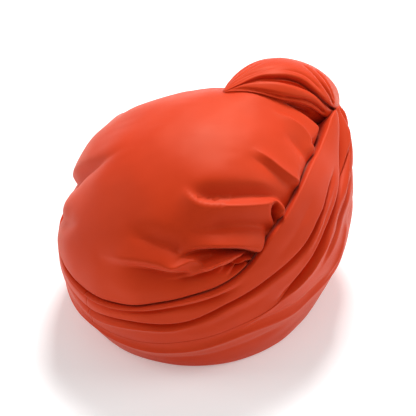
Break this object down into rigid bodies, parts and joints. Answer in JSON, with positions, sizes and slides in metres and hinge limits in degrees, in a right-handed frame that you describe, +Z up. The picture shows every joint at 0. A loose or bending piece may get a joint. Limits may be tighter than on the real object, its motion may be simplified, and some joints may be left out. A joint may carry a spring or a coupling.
{
  "type": "turban hat",
  "caption": "Hollow puffed cap of smooth pleated cloth, gathered into a wrapped band that rises to a rolled knot at the front.",
  "frame": {"origin": "centre of the rim's plane, under the middle of the hat", "axes": "+Z up through the crown, -Y towards the forehead and the knot, +X towards the wearer's left"},
  "size_m": [0.2118, 0.2636, 0.1752],
  "materials": {
    "cloth": "smooth satiny stretch cloth"
  },
  "bodies": {
    "root": {"crown": "cloth", "wrap_right": "cloth", "wrap_left": "cloth", "band_lower": "cloth", "knot_wrap": "cloth", "knot_fold": "cloth", "knot_roll": "cloth", "knot_loop": "cloth", "knot_left_roll": "cloth"}
  },
  "joints": []
}
